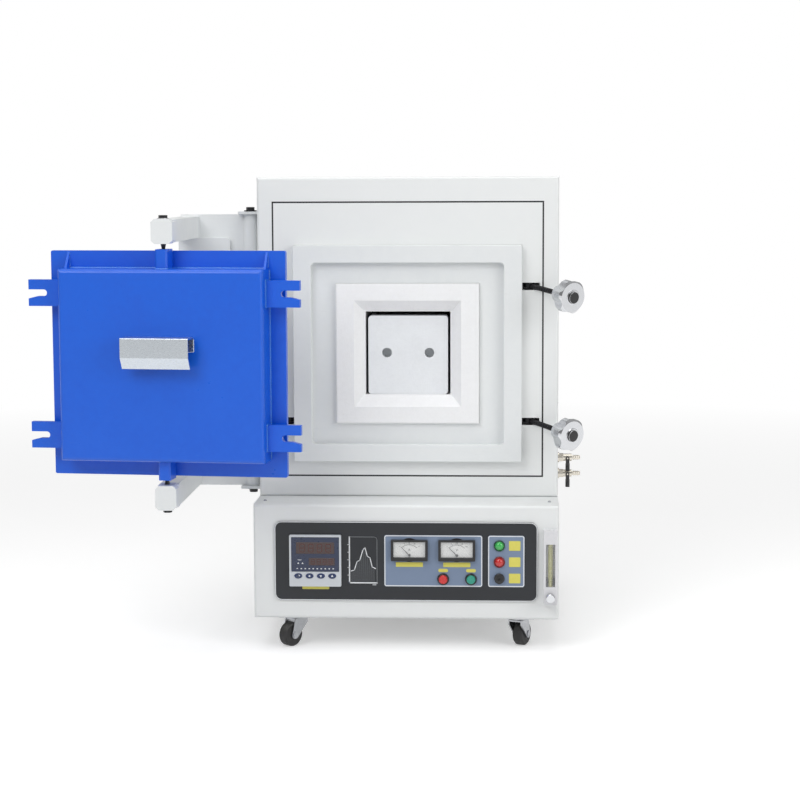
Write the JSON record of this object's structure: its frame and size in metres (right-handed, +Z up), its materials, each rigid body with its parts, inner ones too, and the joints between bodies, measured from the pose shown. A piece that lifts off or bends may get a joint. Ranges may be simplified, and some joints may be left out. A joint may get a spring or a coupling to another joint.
{
  "type": "box atmosphere furnace",
  "caption": "Chamber furnace on casters: sealed box with a blue door on a double-pivot swing arm, clamped by swing bolts with lobed knobs, over an instrument base.",
  "frame": {"origin": "on the floor, under the middle of the whole object at rest, with its door swung open", "axes": "+Z up; -Y out of the furnace's front; +X to the right as one faces the front"},
  "size_m": [0.9916, 0.9164, 0.875],
  "materials": {
    "casing_paint": "satin",
    "door_paint": "gloss",
    "stainless": "satin",
    "vessel_steel": "satin",
    "black_steel": "satin",
    "bright_chrome": "polished",
    "fibre": "matte",
    "element": "matte",
    "hearth": "matte",
    "seal_rubber": "matte",
    "panel_black": "satin",
    "panel_grey": "satin",
    "controller_grey": "satin",
    "black_plastic": "gloss",
    "needle_black": "matte",
    "red_plastic": "gloss",
    "green_plastic": "gloss",
    "fitting": "satin",
    "acrylic": "gloss",
    "tube_glass": "gloss",
    "float_steel": "polished",
    "valve_brass": "satin",
    "core_steel": "matte",
    "caster_zinc": "satin",
    "wheel_black": "matte"
  },
  "bodies": {
    "cabinet": {"base_cabinet": "casing_paint", "rear_panels": "casing_paint", "upper_casing": "casing_paint", "front_panel": "casing_paint", "vessel": "vessel_steel", "seal_frame": "casing_paint", "fibre_mouth": "fibre", "chamber_lining": "fibre", "hearth_plate": "hearth", "heating_elements": "element", "thermocouple": "hearth", "transformer": "core_steel", "fascia": "panel_black", "instrument_plates": "panel_grey", "controller": "controller_grey", "meter_cases": "black_plastic", "panel_fittings": "fitting", "flowmeter_body": "acrylic", "flow_tube": "tube_glass", "side_valves": "valve_brass", "hinge_brackets": "casing_paint", "bolt_brackets": "casing_paint", "caster_plates": "caster_zinc"},
    "arm": {"swing_arm": "casing_paint", "arm_pins": "black_steel"},
    "door": {"door_plate": "door_paint", "door_seal": "seal_rubber", "door_box": "door_paint", "door_lining": "fibre", "door_lugs": "door_paint", "door_handle": "stainless"},
    "plug": {"furnace_plug": "fibre"},
    "bolt_upper_left": {"bolt_upper_left": "black_steel"},
    "collar_upper_left": {"collar_upper_left": "stainless"},
    "knob_upper_left": {"knob_upper_left": "bright_chrome"},
    "bolt_lower_left": {"bolt_lower_left": "black_steel"},
    "collar_lower_left": {"collar_lower_left": "stainless"},
    "knob_lower_left": {"knob_lower_left": "bright_chrome"},
    "bolt_upper_right": {"bolt_upper_right": "black_steel"},
    "collar_upper_right": {"collar_upper_right": "stainless"},
    "knob_upper_right": {"knob_upper_right": "bright_chrome"},
    "bolt_lower_right": {"bolt_lower_right": "black_steel"},
    "collar_lower_right": {"collar_lower_right": "stainless"},
    "knob_lower_right": {"knob_lower_right": "bright_chrome"},
    "ammeter_needle": {"ammeter_needle": "needle_black"},
    "voltmeter_needle": {"voltmeter_needle": "needle_black"},
    "red_button": {"red_button": "red_plastic"},
    "green_button": {"green_button": "green_plastic"},
    "flow_knob": {"flow_knob": "black_plastic"},
    "flow_float": {"flow_float": "float_steel"},
    "upper_lever": {"upper_lever": "black_steel"},
    "lower_lever": {"lower_lever": "black_steel"},
    "fork_front_left": {"fork_front_left": "caster_zinc"},
    "wheel_front_left": {"wheel_front_left": "wheel_black"},
    "fork_front_right": {"fork_front_right": "caster_zinc"},
    "wheel_front_right": {"wheel_front_right": "wheel_black"},
    "fork_rear_left": {"fork_rear_left": "caster_zinc"},
    "wheel_rear_left": {"wheel_rear_left": "wheel_black"},
    "fork_rear_right": {"fork_rear_right": "caster_zinc"},
    "wheel_rear_right": {"wheel_rear_right": "wheel_black"}
  },
  "joints": [
    {"name": "arm_swing", "type": "hinge", "parent": "cabinet", "child": "arm", "pos_m": [-0.1341, -0.07676, 0.545], "axis": [0, 0, 1], "range_deg": [-30, 90]},
    {"name": "door_swivel", "type": "hinge", "parent": "arm", "child": "door", "pos_m": [-0.2501, -0.37876, 0.545], "axis": [0, 0, 1], "range_deg": [-84, 28]},
    {"name": "bolt_swing_upper_left", "type": "hinge", "parent": "cabinet", "child": "bolt_upper_left", "pos_m": [-0.0581, -0.12076, 0.672], "axis": [-0.213, 0, 0.977], "range_deg": [0, 39]},
    {"name": "collar_slide_upper_left", "type": "slide", "parent": "bolt_upper_left", "child": "collar_upper_left", "axis": [-0.6149, -0.7771, -0.1341], "range_m": [-0.0036, 0.006]},
    {"name": "knob_spin_upper_left", "type": "hinge", "parent": "collar_upper_left", "child": "knob_upper_left", "pos_m": [-0.0581, -0.12076, 0.672], "axis": [-0.6149, -0.7771, -0.1341], "range_deg": [-864, 1440]},
    {"name": "bolt_swing_lower_left", "type": "hinge", "parent": "cabinet", "child": "bolt_lower_left", "pos_m": [-0.0581, -0.12076, 0.418], "axis": [-0.213, 0, 0.977], "range_deg": [0, 39]},
    {"name": "collar_slide_lower_left", "type": "slide", "parent": "bolt_lower_left", "child": "collar_lower_left", "axis": [-0.6149, -0.7771, -0.1341], "range_m": [-0.0036, 0.006]},
    {"name": "knob_spin_lower_left", "type": "hinge", "parent": "collar_lower_left", "child": "knob_lower_left", "pos_m": [-0.0581, -0.12076, 0.418], "axis": [-0.6149, -0.7771, -0.1341], "range_deg": [-864, 1440]},
    {"name": "bolt_swing_upper_right", "type": "hinge", "parent": "cabinet", "child": "bolt_upper_right", "pos_m": [0.3939, -0.12076, 0.672], "axis": [-0.213, 0, -0.977], "range_deg": [0, 39]},
    {"name": "collar_slide_upper_right", "type": "slide", "parent": "bolt_upper_right", "child": "collar_upper_right", "axis": [0.6149, -0.7771, -0.1341], "range_m": [-0.0036, 0.006]},
    {"name": "knob_spin_upper_right", "type": "hinge", "parent": "collar_upper_right", "child": "knob_upper_right", "pos_m": [0.3939, -0.12076, 0.672], "axis": [0.6149, -0.7771, -0.1341], "range_deg": [-864, 1440]},
    {"name": "bolt_swing_lower_right", "type": "hinge", "parent": "cabinet", "child": "bolt_lower_right", "pos_m": [0.3939, -0.12076, 0.418], "axis": [-0.213, 0, -0.977], "range_deg": [0, 39]},
    {"name": "collar_slide_lower_right", "type": "slide", "parent": "bolt_lower_right", "child": "collar_lower_right", "axis": [0.6149, -0.7771, -0.1341], "range_m": [-0.0036, 0.006]},
    {"name": "knob_spin_lower_right", "type": "hinge", "parent": "collar_lower_right", "child": "knob_lower_right", "pos_m": [0.3939, -0.12076, 0.418], "axis": [0.6149, -0.7771, -0.1341], "range_deg": [-864, 1440]},
    {"name": "plug_slide", "type": "slide", "parent": "cabinet", "child": "plug", "axis": [0, 1, 0], "range_m": [-0.25, 0]},
    {"name": "ammeter_swing", "type": "hinge", "parent": "cabinet", "child": "ammeter_needle", "pos_m": [0.1749, -0.25106, 0.1814], "axis": [0, 1, 0], "range_deg": [0, 90], "stiffness_Nm_per_rad": 0.00002},
    {"name": "voltmeter_swing", "type": "hinge", "parent": "cabinet", "child": "voltmeter_needle", "pos_m": [0.2624, -0.25106, 0.1814], "axis": [0, 1, 0], "range_deg": [0, 90], "stiffness_Nm_per_rad": 0.00002},
    {"name": "red_press", "type": "slide", "parent": "cabinet", "child": "red_button", "axis": [0, 1, 0], "range_m": [0, 0.004], "stiffness_N_per_m": 300},
    {"name": "green_press", "type": "slide", "parent": "cabinet", "child": "green_button", "axis": [0, 1, 0], "range_m": [0, 0.004], "stiffness_N_per_m": 300},
    {"name": "flow_knob_turn", "type": "hinge", "parent": "cabinet", "child": "flow_knob", "pos_m": [0.4344, -0.26176, 0.107], "axis": [0, -1, 0], "range_deg": [0, 720]},
    {"name": "float_rise", "type": "slide", "parent": "cabinet", "child": "flow_float", "axis": [0, 0, 1], "range_m": [0, 0.06]},
    {"name": "upper_valve_turn", "type": "hinge", "parent": "cabinet", "child": "upper_lever", "pos_m": [0.4694, -0.10276, 0.3426], "axis": [0, -1, 0], "range_deg": [0, 90]},
    {"name": "lower_valve_turn", "type": "hinge", "parent": "cabinet", "child": "lower_lever", "pos_m": [0.4694, -0.10276, 0.3122], "axis": [0, -1, 0], "range_deg": [0, 90]},
    {"name": "caster_swivel_front_left", "type": "hinge", "parent": "cabinet", "child": "fork_front_left", "pos_m": [-0.0411, -0.19676, 0.06], "axis": [0, 0, 1], "continuous": true},
    {"name": "wheel_roll_front_left", "type": "hinge", "parent": "fork_front_left", "child": "wheel_front_left", "pos_m": [-0.05047, -0.20717, 0.0225], "axis": [-0.7431, 0.6691, 0], "continuous": true},
    {"name": "caster_swivel_front_right", "type": "hinge", "parent": "cabinet", "child": "fork_front_right", "pos_m": [0.3769, -0.19676, 0.06], "axis": [0, 0, 1], "continuous": true},
    {"name": "wheel_roll_front_right", "type": "hinge", "parent": "fork_front_right", "child": "wheel_front_right", "pos_m": [0.38281, -0.18407, 0.0225], "axis": [0.9063, -0.4226, 0], "continuous": true},
    {"name": "caster_swivel_rear_left", "type": "hinge", "parent": "cabinet", "child": "fork_rear_left", "pos_m": [-0.0411, 0.37824, 0.06], "axis": [0, 0, 1], "continuous": true},
    {"name": "wheel_roll_rear_left", "type": "hinge", "parent": "fork_rear_left", "child": "wheel_rear_left", "pos_m": [-0.04589, 0.39139, 0.0225], "axis": [0.9397, 0.342, 0], "continuous": true},
    {"name": "caster_swivel_rear_right", "type": "hinge", "parent": "cabinet", "child": "fork_rear_right", "pos_m": [0.3769, 0.37824, 0.06], "axis": [0, 0, 1], "continuous": true},
    {"name": "wheel_roll_rear_right", "type": "hinge", "parent": "fork_rear_right", "child": "wheel_rear_right", "pos_m": [0.3839, 0.39036, 0.0225], "axis": [0.866, -0.5, 0], "continuous": true}
  ],
  "couplings": [
    {"joint": "door_swivel", "follows": "arm_swing", "ratio": -0.93333},
    {"joint": "collar_slide_upper_left", "follows": "knob_spin_upper_left", "m_per_rad": 0.00023873},
    {"joint": "collar_slide_lower_left", "follows": "knob_spin_lower_left", "m_per_rad": 0.00023873},
    {"joint": "collar_slide_upper_right", "follows": "knob_spin_upper_right", "m_per_rad": 0.00023873},
    {"joint": "collar_slide_lower_right", "follows": "knob_spin_lower_right", "m_per_rad": 0.00023873},
    {"joint": "float_rise", "follows": "flow_knob_turn", "m_per_rad": 0.0047746}
  ]
}
